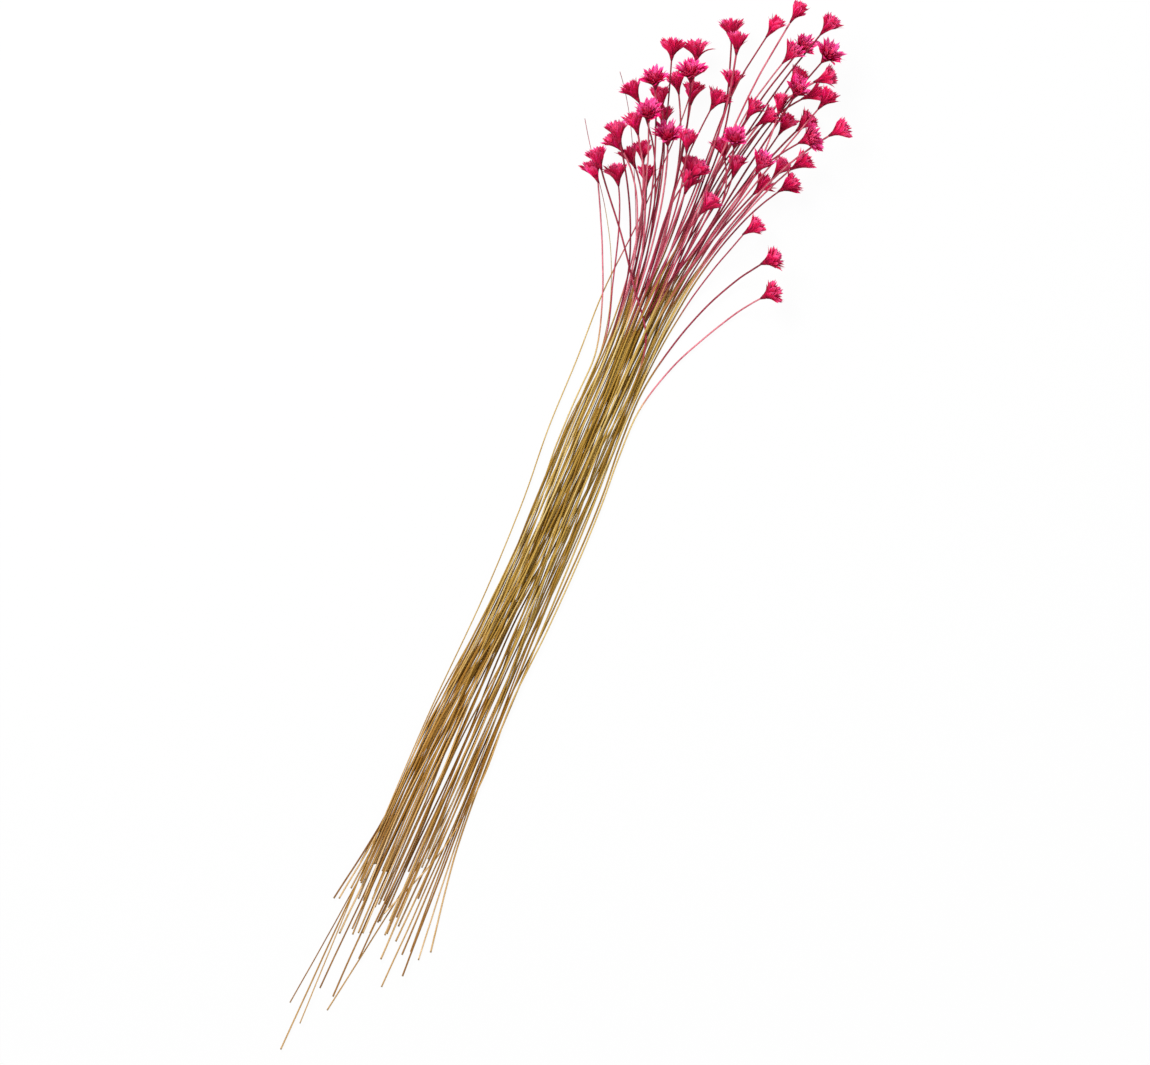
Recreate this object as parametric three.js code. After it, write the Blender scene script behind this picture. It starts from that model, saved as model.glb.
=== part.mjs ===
// A gathered bunch of dried hill flowers that lies flat on a surface.
// Each flower is one grown piece: a thin straw stem and a star-shaped head of
// pointed bracts at its top. Two more stems have lost their heads.
// Millimetres, +Y along the bunch towards the heads, +Z up, the floor at z = 0.
import * as THREE from 'three';

// How the photograph, taken from straight above, maps onto the surface
const MM_PER_PX = 0.5;
const LEAN_DEG = 24;
const PHOTO_MIDDLE_PX = [566, 530];

// Stems: square in section, with one flat side down
const STEM_RADIUS = 0.55;
const STEM_FLAT = STEM_RADIUS * Math.SQRT1_2;
const STEM_SIDES = 4;
const STEM_CLEARANCE = 0.07;
const BARE_TIP_LENGTH = 1.1;

// Heads: a narrow funnel that carries three layers of bracts, as distances
// from the stem along the head's axis and out from it
const FUNNEL = { along: 4.8, out: 2.9 };
const OUTER_BRACTS = {
  count: 10, tipAlong: 8.1, tipOut: 1.04, rimAlong: 6, rimOut: 2.6,
};
const MIDDLE_BRACTS = {
  count: 8, footAlong: 6.4, footOut: 2.35, tipAlong: 9.7, tipOut: 0.72, rimAlong: 7.2, rimOut: 1.4,
};
const INNER_BRACTS = {
  count: 5, footAlong: 7.4, footOut: 1.25, tipAlong: 10.6, tipOut: 0.32, rimAlong: 7.9, rimOut: 0.5,
};
const HEART_ALONG = 8.1;
const OPEN_HEAD_WIDTH = 13;
const LEAST_FULLNESS = 0.2;
const TIP_JITTER = 0.09;
const TIP_TURN_JITTER = 0.3;
const HEAD_TURN_JITTER = 0.15;
const FACING_JITTER_DEG = 4;

// The ball that a head's bract tips stay within
const BALL_ALONG = 7.1;
const BALL_LEAST_RADIUS = 4;
const BALL_CLEARANCE = 0.35;
const BALL_FLOOR_GAP = 0.5;
const NECK_RADIUS = 1.5;

// How high a head lies in the pile, from the lowest level to the highest
const LEVEL_HEIGHTS = [9, 20, 32];
const LEVEL_SPREAD = 5;
const LEAST_FOOT_HEIGHT = 2;
const STACK_SHARES = [0.12, 0.5, 0.9];
const STACK_JITTER = 0.3;
const BARE_STACK_SHARE = 0.3;
const BUNCH_THICKNESS = 5;
const EDGE_THICKNESS = 1.2;

// The bunch's left and right edge along rows of the photograph, in pixels
const EDGE_ROWS_PX = [
  { row: 350, left: 597, right: 660 },
  { row: 430, left: 562, right: 626 },
  { row: 520, left: 526, right: 588 },
  { row: 620, left: 483, right: 543 },
  { row: 720, left: 434, right: 503 },
  { row: 800, left: 398, right: 468 },
];
const NECK_ROW_PX = EDGE_ROWS_PX[0].row;
const LOWEST_ROW_PX = EDGE_ROWS_PX[EDGE_ROWS_PX.length - 1].row;
const FAN_FOCUS_PX = [600, 480];
const FAN_MIXING_DEG = 4;
const ROW_WANDER_PX = 3;
const MIDDLE_CROWDING = 1.25;
const LOW_MIXING = 0.85;
const MIXING_START = 0.05;
const CUT_DROP = 8;

// One line a flower: the pixel of the head's foot, the way the head faces in
// degrees clockwise from the photograph's top, its lift off the surface in
// degrees, its level in the pile and its width in millimetres
const FLOWERS = [
  [790, 23, 37, 0, 2, 7.5],
  [766, 38, 35, 0, 2, 8],
  [820, 35, 40, 10, 2, 10.5],
  [732, 41, 0, 0, 1, 12],
  [735, 55, 4, 0, 2, 10.5],
  [797, 54, 45, 40, 1, 11.5],
  [783, 65, 48, 15, 2, 9],
  [822, 63, 45, 35, 2, 14],
  [815, 82, 70, 0, 1, 9.5],
  [672, 60, 2, 0, 1, 11.5],
  [696, 61, 3, 0, 1, 13],
  [655, 90, -3, 35, 2, 14.5],
  [638, 101, -30, 0, 1, 11],
  [690, 83, 3, 35, 2, 14.5],
  [681, 97, -5, 0, 0, 9.5],
  [692, 100, 8, 0, 0, 9.5],
  [662, 109, -5, 0, 1, 9],
  [664, 127, 0, 0, 0, 9.5],
  [648, 122, 0, 45, 2, 12.5],
  [638, 134, -15, 0, 1, 10.5],
  [731, 93, 3, 0, 1, 11],
  [711, 110, 28, 0, 1, 11.5],
  [790, 86, 35, 0, 0, 9],
  [792, 98, 30, 45, 2, 10.5],
  [804, 99, 68, 0, 0, 9.5],
  [819, 109, 42, 0, 1, 10],
  [746, 118, 38, 0, 1, 9.5],
  [756, 126, 48, 0, 1, 9],
  [778, 117, 15, 0, 1, 8],
  [781, 130, 35, 0, 0, 9.5],
  [796, 130, 50, 0, 0, 9.5],
  [799, 144, 65, 25, 2, 14],
  [830, 137, 60, 0, 1, 10.5],
  [620, 144, -15, 0, 2, 10.5],
  [620, 153, -35, 0, 1, 11.5],
  [669, 143, 0, 40, 2, 14],
  [685, 152, 0, 0, 2, 9.5],
  [733, 148, 8, 45, 2, 12.5],
  [601, 170, -22, 0, 2, 10.5],
  [598, 182, -22, 0, 1, 9.5],
  [620, 182, -8, 0, 1, 12.5],
  [637, 168, -20, 0, 0, 9],
  [645, 163, -5, 0, 0, 9],
  [646, 190, 0, 0, 0, 10],
  [685, 176, 0, 0, 0, 9.5],
  [691, 179, 45, 0, 1, 9.5],
  [685, 197, 22, 0, 1, 10.5],
  [729, 163, -20, 0, 1, 9],
  [731, 175, 10, 0, 1, 9.5],
  [756, 174, 30, 30, 2, 10],
  [753, 194, 48, 0, 0, 10],
  [774, 176, 40, 0, 0, 9.5],
  [792, 173, 52, 0, 1, 10.5],
  [777, 190, 55, 0, 1, 10],
  [701, 214, 42, 0, 2, 10.5],
  [744, 234, 60, 0, 1, 10],
  [762, 264, 68, 0, 1, 12.5],
  [762, 298, 62, 0, 1, 11.5],
];

// Stems that leave the bunch's outline, by flower number: the pixels they pass
const OWN_ROUTES_PX = new Map([
  [11, [
    [690, 96], [668, 152], [642, 214], [610, 277], [590, 325], [577, 360],
    [560, 400], [530, 480], [514, 530], [478, 612], [428, 722],
  ]],
  [57, [
    [741, 277], [720, 293], [704, 309], [685, 330], [669, 350], [648, 380],
    [625, 432], [600, 503], [554, 610], [499, 722], [455, 830],
  ]],
  [58, [
    [742, 309], [719, 326], [692, 349], [657, 384], [631, 426], [606, 494],
    [560, 603], [505, 716], [461, 824],
  ]],
  [56, [[703, 283], [667, 338], [628, 418], [596, 497], [549, 603], [495, 712], [450, 810]]],
]);

// Flowers that cross the fan their own way: the pixels they pass, down to the neck
const FAN_ROUTES_PX = new Map([
  [39, [[607, 190], [618, 224], [624, 246], [630, 272], [637, 305], [646, 350]]],
  [40, [[601, 220], [602.5, 250], [603, 280], [601.5, 315], [598, 350]]],
  [41, [[621, 212], [619, 236], [615, 270], [610, 310], [604, 350]]],
]);

// The bare stems: the pixels that each passes, from its tip down to the neck
const BARE_ROUTES_PX = [
  [[585, 118], [591, 148], [600, 184], [608, 220], [611, 246], [611, 290], [603, 350]],
  [[620, 72], [627, 100], [632, 147], [636, 220], [633, 290], [618, 350]],
];
const BARE_HEIGHTS = [6, 14];
const BARE_FACING_DEG = -8;

// The cut ends that show beyond the bunch, in pixels, and how many more there
// are inside it, below the rows where the bunch thins out
const CUT_ENDS_PX = [
  [281, 1051], [288, 1003], [301, 1025], [319, 989], [326, 1011], [333, 998],
  [335, 900], [340, 900], [352, 890], [357, 959], [359, 883], [363, 864],
  [369, 889], [372, 882], [378, 959], [381, 988], [383, 914], [384, 936],
  [390, 922], [395, 942], [402, 956], [402, 977], [411, 953], [414, 882],
  [416, 899], [418, 961], [429, 953], [428, 860], [430, 865],
];
const HIDDEN_CUTS = { firstRow: 852, lastRow: 936, left: 372, right: 428, drift: 0.42 };

// Where a stem's centre line has its corners, as shares of its length
const CORNER_SHARES = [0, 0.11, 0.22, 0.33, 0.44, 0.54, 0.62, 0.69, 0.76, 0.83, 0.89, 0.94, 0.975, 1];
const LAST_CORNER = CORNER_SHARES.length - 1;
const FAN_SHARES = [0.28, 0.55, 0.8];
const FAN_HANDLES = { neck: 0.36, head: 0.26 };

// How the bunch is settled until no stem or head cuts another
const SETTLE_ROUNDS = 500;
const CLEAR_ROUNDS = 1500;
const HOME_PULL = 0.03;
const SHAPE_KEEPING = 0.35;
const NEIGHBOUR_REACH = 4;
const NEIGHBOUR_ROUNDS = 20;
const SIDEWAYS_SHARE = 0.45;
const OVERSTEP = 1e-4;
const FLOOR_SNAP = 0.04;
const LEAST_GAP = 0.1;
const TINY = 1e-6;

const SEED = 20251;

const COLOURS = { flower: 0xc81e5a, bare: 0xa4864a };

// A small repeatable random generator
function seededRandom(seed) {
  let state = seed;
  return () => {
    state = (state + 0x6d2b79f5) | 0;
    let mixed = Math.imul(state ^ (state >>> 15), 1 | state);
    mixed = (mixed + Math.imul(mixed ^ (mixed >>> 7), 61 | mixed)) ^ mixed;
    return ((mixed ^ (mixed >>> 14)) >>> 0) / 4294967296;
  };
}

const random = seededRandom(SEED);
const either = (size) => (random() * 2 - 1) * size;

const lean = THREE.MathUtils.degToRad(LEAN_DEG);

// A pixel of the photograph as a point over the surface
function fromPhoto([column, row], height = 0) {
  const right = (column - PHOTO_MIDDLE_PX[0]) * MM_PER_PX;
  const up = (PHOTO_MIDDLE_PX[1] - row) * MM_PER_PX;
  return new THREE.Vector3(
    right * Math.cos(lean) - up * Math.sin(lean),
    right * Math.sin(lean) + up * Math.cos(lean),
    height,
  );
}

// The direction of a head from the way it faces in the photograph and its lift
function facingDirection(facingDeg, liftDeg) {
  const turn = THREE.MathUtils.degToRad(facingDeg) - lean;
  const lift = THREE.MathUtils.degToRad(liftDeg);
  return new THREE.Vector3(
    Math.sin(turn) * Math.cos(lift),
    Math.cos(turn) * Math.cos(lift),
    Math.sin(lift),
  );
}

// A stem's side of the bunch, -1 at its left edge and 1 at its right, as a column
const columnAt = ({ left, right }, side) => left + ((side + 1) / 2) * (right - left);

// The side of the bunch of a column in its neck
function neckSideAt(column) {
  const { left, right } = EDGE_ROWS_PX[0];
  return ((column - left) / (right - left)) * 2 - 1;
}

// The cut ends, from the bunch's left to its right
function cutEnds(count) {
  const ends = CUT_ENDS_PX.map((pixel) => [...pixel]);
  while (ends.length < count) {
    const row = THREE.MathUtils.lerp(HIDDEN_CUTS.firstRow, HIDDEN_CUTS.lastRow, random());
    const column = THREE.MathUtils.lerp(HIDDEN_CUTS.left, HIDDEN_CUTS.right, random());
    ends.push([column - (row - HIDDEN_CUTS.firstRow) * HIDDEN_CUTS.drift, row]);
  }
  return ends.sort((one, other) => fromPhoto(one).x - fromPhoto(other).x);
}

// The side of the bunch on which a cut end's stem runs in the lowest row
function lowSide([column, row]) {
  const { left, right } = EDGE_ROWS_PX[EDGE_ROWS_PX.length - 1];
  const above = column + (row - LOWEST_ROW_PX) * Math.tan(lean);
  return THREE.MathUtils.clamp(((above - left) / (right - left)) * 2 - 1, -1, 1);
}

// The height of a stem among the others in the bunch
function stackHeight(side, share) {
  const thickness = EDGE_THICKNESS + (BUNCH_THICKNESS - EDGE_THICKNESS) * (1 - side * side);
  return STEM_FLAT + thickness * share;
}

// The pixels and heights that a stem passes inside the bunch, from the neck down
function bunchPoints(strand) {
  const points = [];
  for (const edges of EDGE_ROWS_PX) {
    const down = (edges.row - NECK_ROW_PX) / (LOWEST_ROW_PX - NECK_ROW_PX);
    const mix = THREE.MathUtils.smoothstep(down, MIXING_START, 1);
    const side = THREE.MathUtils.lerp(strand.neckSide, strand.lowSide, mix);
    const column = columnAt(edges, side) + either(ROW_WANDER_PX);
    points.push(fromPhoto([column, edges.row], stackHeight(side, strand.stackShare)));
  }
  return points;
}

// The points of a stem's own route, which stays at one height in the bunch
function routePoints(route, strand) {
  return route.map((pixel) => {
    const inFan = Math.max(0, NECK_ROW_PX - pixel[1]) / NECK_ROW_PX;
    const height = THREE.MathUtils.lerp(stackHeight(1, strand.stackShare), strand.topHeight, inFan);
    return fromPhoto(pixel, height);
  });
}

// The cubic between the neck and the head's foot, where the bunch fans out
function fanPoints(neck, below, strand) {
  const reach = strand.foot.distanceTo(neck);
  const outOfNeck = neck.clone().sub(below).normalize().multiplyScalar(reach * FAN_HANDLES.neck);
  const intoHead = strand.direction.clone().multiplyScalar(-reach * FAN_HANDLES.head);
  const curve = new THREE.CubicBezierCurve3(
    neck,
    neck.clone().add(outOfNeck),
    strand.foot.clone().add(intoHead),
    strand.foot,
  );
  return FAN_SHARES.map((share) => curve.getPoint(share)).reverse();
}

// A stem's corners at home, from its cut end to its top
function homeCorners(strand) {
  const down = [strand.foot];
  if (strand.ownRoute) {
    down.push(...routePoints(strand.ownRoute, strand));
  } else {
    const inBunch = bunchPoints(strand);
    const inFan = strand.fanRoute
      ? routePoints(strand.fanRoute.slice(0, -1), strand)
      : fanPoints(inBunch[0], inBunch[1], strand);
    down.push(...inFan, ...inBunch);
  }
  const cut = fromPhoto(strand.cutEnd, stackHeight(1, strand.stackShare));
  while (down[down.length - 1].y < cut.y + CUT_DROP) {
    down.pop();
  }
  down.push(cut);
  const curve = new THREE.CatmullRomCurve3(down.reverse(), false, 'centripetal');
  return CORNER_SHARES.map((share) => curve.getPointAt(share));
}

// Every flower and bare stem, with what places it, before it is routed
function gatherStrands() {
  const flowers = FLOWERS.map(([column, row, facing, lift, level, width], index) => {
    const direction = facingDirection(facing + either(FACING_JITTER_DEG), lift);
    const ballRadius = Math.max(BALL_LEAST_RADIUS, width / 2) + BALL_CLEARANCE;
    const height = Math.max(LEVEL_HEIGHTS[level] + either(LEVEL_SPREAD), ballRadius);
    const footHeight = Math.max(height - direction.z * BALL_ALONG, LEAST_FOOT_HEIGHT);
    return {
      name: `flower_${String(index + 1).padStart(2, '0')}`,
      pixel: [column, row],
      foot: fromPhoto([column, row], footHeight),
      topHeight: footHeight,
      direction,
      width,
      ballRadius,
      stackShare: THREE.MathUtils.clamp(STACK_SHARES[level] + either(STACK_JITTER), 0, 1),
      ownRoute: OWN_ROUTES_PX.get(index + 1),
      fanRoute: FAN_ROUTES_PX.get(index + 1),
    };
  });
  const bare = BARE_ROUTES_PX.map((route, index) => ({
    name: `bare_stem_${index + 1}`,
    pixel: route[0],
    foot: fromPhoto(route[0], BARE_HEIGHTS[index]),
    topHeight: BARE_HEIGHTS[index],
    direction: facingDirection(BARE_FACING_DEG, 0),
    stackShare: BARE_STACK_SHARE,
    fanRoute: route.slice(1),
  }));
  return [...flowers, ...bare];
}

// Each stem keeps roughly its own side of the bunch, from its head to its cut end
function shareOutSides(strands) {
  for (const strand of strands) {
    const [column, row] = strand.pixel;
    const angle = Math.atan2(column - FAN_FOCUS_PX[0], FAN_FOCUS_PX[1] - row);
    strand.fanAngle = angle + THREE.MathUtils.degToRad(either(FAN_MIXING_DEG));
  }
  const byFan = [...strands].sort((one, other) => one.fanAngle - other.fanAngle);
  byFan.forEach((strand, rank) => {
    const evenSide = (2 * (rank + 0.5)) / strands.length - 1;
    const fanSide = Math.sign(evenSide) * Math.abs(evenSide) ** MIDDLE_CROWDING;
    strand.neckSide = strand.fanRoute ? neckSideAt(strand.fanRoute.at(-1)[0]) : fanSide;
    strand.lowKey = evenSide + either(LOW_MIXING);
  });
  const ends = cutEnds(strands.length);
  const byLow = [...strands].sort((one, other) => one.lowKey - other.lowKey);
  byLow.forEach((strand, rank) => {
    strand.cutEnd = ends[rank];
    strand.lowSide = lowSide(ends[rank]);
  });
}

// The solids that a strand fills while the bunch is settled: a rod for each
// stretch of stem, a thicker one for the head's neck and a ball for its bracts
function fillSpace(strand) {
  const corners = homeCorners(strand);
  if (strand.width) {
    corners.push(strand.foot.clone().addScaledVector(strand.direction, BALL_ALONG));
  }
  strand.home = corners;
  strand.corners = corners.map((corner) => corner.clone());
  strand.solids = [];
  const addSolid = (first, second, radius) => {
    strand.solids.push({ strand, radius, from: strand.corners[first], to: strand.corners[second] });
  };
  for (let index = 0; index < LAST_CORNER; index += 1) {
    addSolid(index, index + 1, STEM_RADIUS + STEM_CLEARANCE);
  }
  if (strand.width) {
    addSolid(LAST_CORNER, LAST_CORNER + 1, NECK_RADIUS);
    addSolid(LAST_CORNER + 1, LAST_CORNER + 1, strand.ballRadius);
  }
}

// The shares along two straight lines at which they come closest
function closestShares(one, other) {
  const alongOne = new THREE.Vector3().subVectors(one.to, one.from);
  const alongOther = new THREE.Vector3().subVectors(other.to, other.from);
  const between = new THREE.Vector3().subVectors(one.from, other.from);
  const lengthOne = alongOne.lengthSq();
  const lengthOther = alongOther.lengthSq();
  const otherDrop = alongOther.dot(between);
  if (lengthOne < TINY && lengthOther < TINY) {
    return [0, 0];
  }
  if (lengthOne < TINY) {
    return [0, THREE.MathUtils.clamp(otherDrop / lengthOther, 0, 1)];
  }
  const oneDrop = alongOne.dot(between);
  if (lengthOther < TINY) {
    return [THREE.MathUtils.clamp(-oneDrop / lengthOne, 0, 1), 0];
  }
  const cross = alongOne.dot(alongOther);
  const spread = lengthOne * lengthOther - cross * cross;
  let shareOne = 0;
  if (spread > TINY) {
    shareOne = THREE.MathUtils.clamp((cross * otherDrop - oneDrop * lengthOther) / spread, 0, 1);
  }
  let shareOther = (cross * shareOne + otherDrop) / lengthOther;
  if (shareOther < 0) {
    shareOther = 0;
    shareOne = THREE.MathUtils.clamp(-oneDrop / lengthOne, 0, 1);
  } else if (shareOther > 1) {
    shareOther = 1;
    shareOne = THREE.MathUtils.clamp((cross - oneDrop) / lengthOne, 0, 1);
  }
  return [shareOne, shareOther];
}

// The free space between two solids, and the line from the other to the one
function gapBetween(one, other) {
  const [shareOne, shareOther] = closestShares(one, other);
  const apart = new THREE.Vector3().lerpVectors(one.from, one.to, shareOne);
  apart.sub(new THREE.Vector3().lerpVectors(other.from, other.to, shareOther));
  return { shareOne, shareOther, apart, gap: apart.length() - one.radius - other.radius };
}

// Pairs of solids of different strands that lie close enough to matter
function neighbourPairs(strands) {
  const boxes = strands.flatMap((strand) => strand.solids).map((solid) => {
    const box = new THREE.Box3().setFromPoints([solid.from, solid.to]);
    return { solid, box: box.expandByScalar(solid.radius + NEIGHBOUR_REACH / 2) };
  });
  boxes.sort((one, other) => one.box.min.y - other.box.min.y);
  const pairs = [];
  boxes.forEach((one, index) => {
    for (let next = index + 1; next < boxes.length; next += 1) {
      const other = boxes[next];
      if (other.box.min.y > one.box.max.y) {
        break;
      }
      if (one.solid.strand !== other.solid.strand && one.box.intersectsBox(other.box)) {
        pairs.push([one.solid, other.solid]);
      }
    }
  });
  return pairs;
}

// Moves a solid so that its point at the given share shifts by the given step
function shiftSolid(solid, share, step) {
  if (solid.from === solid.to) {
    solid.from.add(step);
    return;
  }
  const weight = (1 - share) ** 2 + share ** 2;
  solid.from.addScaledVector(step, (1 - share) / weight);
  solid.to.addScaledVector(step, share / weight);
}

// Pushes two solids apart, heads more upwards than sideways
function separate([one, other]) {
  const { shareOne, shareOther, apart, gap } = gapBetween(one, other);
  if (gap >= 0) {
    return;
  }
  const isHead = one.from === one.to || other.from === other.to;
  if (isHead) {
    apart.x *= SIDEWAYS_SHARE;
    apart.y *= SIDEWAYS_SHARE;
  }
  if (apart.length() < TINY) {
    apart.set(0, 0, one.strand.topHeight > other.strand.topHeight ? 1 : -1);
  }
  apart.setLength(-gap / 2 + OVERSTEP);
  shiftSolid(one, shareOne, apart);
  shiftSolid(other, shareOther, apart.negate());
}

// Draws a strand towards its home and spreads each shift along the stem
function holdShape(strand) {
  const { corners, home } = strand;
  const shifts = corners.map((corner, index) => corner.clone().sub(home[index]));
  corners.forEach((corner, index) => {
    const before = shifts[Math.max(index - 1, 0)];
    const after = shifts[Math.min(index + 1, shifts.length - 1)];
    const mean = before.clone().add(after).multiplyScalar(0.5);
    const shift = shifts[index].clone().lerp(mean, SHAPE_KEEPING).multiplyScalar(1 - HOME_PULL);
    corner.copy(home[index]).add(shift);
  });
}

// Keeps a head's length, and keeps everything on or above the floor
function keepBounds(strand) {
  const { corners } = strand;
  if (strand.width) {
    const ball = corners[LAST_CORNER + 1];
    ball.z = Math.max(ball.z, strand.ballRadius + BALL_FLOOR_GAP);
    const axis = ball.clone().sub(corners[LAST_CORNER]).setLength(BALL_ALONG);
    corners[LAST_CORNER].copy(ball).sub(axis);
  }
  for (let index = 0; index <= LAST_CORNER; index += 1) {
    if (corners[index].z < STEM_FLAT + FLOOR_SNAP) {
      corners[index].z = STEM_FLAT;
    }
  }
}

// Settles the bunch, then moves only what still cuts its neighbour
function settle(strands) {
  let pairs = [];
  for (let round = 0; round < SETTLE_ROUNDS + CLEAR_ROUNDS; round += 1) {
    if (round % NEIGHBOUR_ROUNDS === 0) {
      pairs = neighbourPairs(strands);
    }
    if (round < SETTLE_ROUNDS) {
      strands.forEach(holdShape);
    }
    pairs.forEach(separate);
    strands.forEach(keepBounds);
    const testNow = round >= SETTLE_ROUNDS && round % NEIGHBOUR_ROUNDS === 0;
    if (testNow && leastGap(strands) >= LEAST_GAP) {
      return;
    }
  }
  throw new Error(`stems come too close: ${leastGap(strands).toFixed(3)} mm`);
}

// The least free space between the surfaces of any two stems
function leastGap(strands) {
  const gaps = neighbourPairs(strands).map(([one, other]) => gapBetween(one, other).gap);
  return Math.min(...gaps) + 2 * STEM_CLEARANCE;
}

// A closed skin that is built up ring by ring
class Skin {
  constructor() {
    this.points = [];
    this.faces = [];
  }

  point(place) {
    this.points.push(place);
    return this.points.length - 1;
  }

  face(first, second, third) {
    this.faces.push(first, second, third);
  }

  // A ring of points round a centre, anticlockwise seen from ahead
  ring(centre, frame, radius, angles) {
    const points = angles.map((angle) => {
      const place = centre.clone();
      place.addScaledVector(frame.side, Math.cos(angle) * radius);
      place.addScaledVector(frame.up, Math.sin(angle) * radius);
      return this.point(place);
    });
    return { points, angles };
  }

  // Joins two rings, whatever their counts, by stepping round both
  bridge(lower, upper) {
    const at = (ring, step) => ring.points[step % ring.points.length];
    const turn = (ring, step) => {
      const laps = Math.floor(step / ring.points.length);
      return ring.angles[step % ring.points.length] + laps * 2 * Math.PI;
    };
    let low = 0;
    let high = 0;
    while (low < lower.points.length || high < upper.points.length) {
      const lowDone = low >= lower.points.length;
      const highDone = high >= upper.points.length;
      if (!lowDone && (highDone || turn(lower, low + 1) <= turn(upper, high + 1))) {
        this.face(at(lower, low), at(lower, low + 1), at(upper, high));
        low += 1;
      } else {
        this.face(at(lower, low), at(upper, high + 1), at(upper, high));
        high += 1;
      }
    }
  }

  // One pointed bract on each field between two rings of the same count
  bracts(foot, rim, tips) {
    const count = tips.length;
    tips.forEach((tip, index) => {
      const next = (index + 1) % count;
      const top = this.point(tip);
      this.face(foot.points[index], foot.points[next], top);
      this.face(foot.points[next], rim.points[next], top);
      this.face(rim.points[next], rim.points[index], top);
      this.face(rim.points[index], foot.points[index], top);
    });
  }

  // Closes a ring to one point ahead of it
  close(ring, centre) {
    const heart = this.point(centre);
    ring.points.forEach((point, index) => {
      this.face(point, ring.points[(index + 1) % ring.points.length], heart);
    });
  }

  // Closes a square ring behind it
  cap(ring) {
    const [first, second, third, fourth] = ring.points;
    this.face(first, fourth, third);
    this.face(first, third, second);
  }

  geometry(origin) {
    const values = this.points.flatMap((place) => place.clone().sub(origin).toArray());
    const geometry = new THREE.BufferGeometry();
    geometry.setAttribute('position', new THREE.Float32BufferAttribute(values, 3));
    geometry.setIndex(this.faces);
    geometry.computeVertexNormals();
    return geometry;
  }
}

// Evenly spaced angles round a ring, from a first one
function evenAngles(count, first) {
  return Array.from({ length: count }, (_, index) => first + (index * 2 * Math.PI) / count);
}

// A frame across a direction, with its up side as near to +Z as it can be
function frameAcross(direction) {
  const up = new THREE.Vector3(0, 0, 1);
  const side = new THREE.Vector3().crossVectors(up, direction).normalize();
  return { side, up: new THREE.Vector3().crossVectors(direction, side), along: direction };
}

const SQUARE = evenAngles(STEM_SIDES, Math.PI / STEM_SIDES);

// The stem's rings along its corners, closed at the cut end
function addStem(skin, corners, endDirection) {
  let ring = null;
  corners.forEach((corner, index) => {
    const before = corners[Math.max(index - 1, 0)];
    const after = corners[index + 1] ?? corner.clone().add(endDirection);
    const into = corner.clone().sub(before).normalize();
    const outOf = after.clone().sub(corner).normalize();
    const direction = into.add(outOf).normalize();
    const next = skin.ring(corner, frameAcross(direction), STEM_RADIUS, SQUARE);
    if (ring) {
      skin.bridge(ring, next);
    } else {
      skin.cap(next);
    }
    ring = next;
  });
  return ring;
}

// The tips of one layer of bracts, one over each field of its ring
function bractTips(foot, frame, angles, layer, halfWidth) {
  const half = Math.PI / layer.count;
  return angles.map((angle) => {
    const turn = angle + half + either(half * TIP_TURN_JITTER);
    const out = halfWidth * layer.tipOut * (1 + either(TIP_JITTER));
    const along = layer.tipAlong * (1 + either(TIP_JITTER / 2));
    const place = foot.clone().addScaledVector(frame.along, along);
    place.addScaledVector(frame.side, Math.cos(turn) * out);
    return place.addScaledVector(frame.up, Math.sin(turn) * out);
  });
}

// The head: its funnel, its three layers of bracts and its heart
function addHead(skin, stemRing, foot, axis, width) {
  const frame = frameAcross(axis);
  const halfWidth = width / 2;
  const fullness = Math.min(1, width / OPEN_HEAD_WIDTH + LEAST_FULLNESS);
  const first = Math.PI / STEM_SIDES + either(HEAD_TURN_JITTER);
  const layerRing = (layer, along, out) => {
    const centre = foot.clone().addScaledVector(axis, along);
    return skin.ring(centre, frame, out * fullness, evenAngles(layer.count, first));
  };
  const funnel = layerRing(OUTER_BRACTS, FUNNEL.along, FUNNEL.out);
  skin.bridge(stemRing, funnel);
  let below = funnel;
  for (const layer of [OUTER_BRACTS, MIDDLE_BRACTS, INNER_BRACTS]) {
    let ring = below;
    if (layer.footAlong) {
      ring = layerRing(layer, layer.footAlong, layer.footOut);
      skin.bridge(below, ring);
    }
    const rim = layerRing(layer, layer.rimAlong, layer.rimOut);
    skin.bracts(ring, rim, bractTips(foot, frame, ring.angles, layer, halfWidth));
    below = rim;
  }
  skin.close(below, foot.clone().addScaledVector(axis, HEART_ALONG));
}

// A whole flower, or a bare stem, as one closed mesh placed at its cut end
function growStrand(strand) {
  const corners = strand.corners.slice(0, LAST_CORNER + 1);
  const top = corners[LAST_CORNER];
  const skin = new Skin();
  if (strand.width) {
    const axis = strand.corners[LAST_CORNER + 1].clone().sub(top).normalize();
    const ring = addStem(skin, corners, axis);
    addHead(skin, ring, top, axis, strand.width);
  } else {
    const endDirection = top.clone().sub(corners[LAST_CORNER - 1]).normalize();
    const ring = addStem(skin, corners, endDirection);
    skin.close(ring, top.clone().addScaledVector(endDirection, BARE_TIP_LENGTH));
  }
  const material = new THREE.MeshStandardMaterial({
    color: strand.width ? COLOURS.flower : COLOURS.bare,
    roughness: 0.85,
    metalness: 0,
  });
  const mesh = new THREE.Mesh(skin.geometry(corners[0]), material);
  mesh.name = strand.name;
  mesh.position.copy(corners[0]);
  return mesh;
}

// Puts the middle of the bunch over the origin, with its lowest flat on the floor
function centre(meshes) {
  const box = new THREE.Box3();
  meshes.forEach((mesh) => box.expandByObject(mesh));
  const middle = box.getCenter(new THREE.Vector3());
  meshes.forEach((mesh) => mesh.position.sub(new THREE.Vector3(middle.x, middle.y, box.min.z)));
}

const strands = gatherStrands();
shareOutSides(strands);
strands.forEach(fillSpace);
settle(strands);

const bunch = new THREE.Group();
const meshes = strands.map(growStrand);
centre(meshes);
meshes.forEach((mesh) => bunch.add(mesh));

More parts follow.
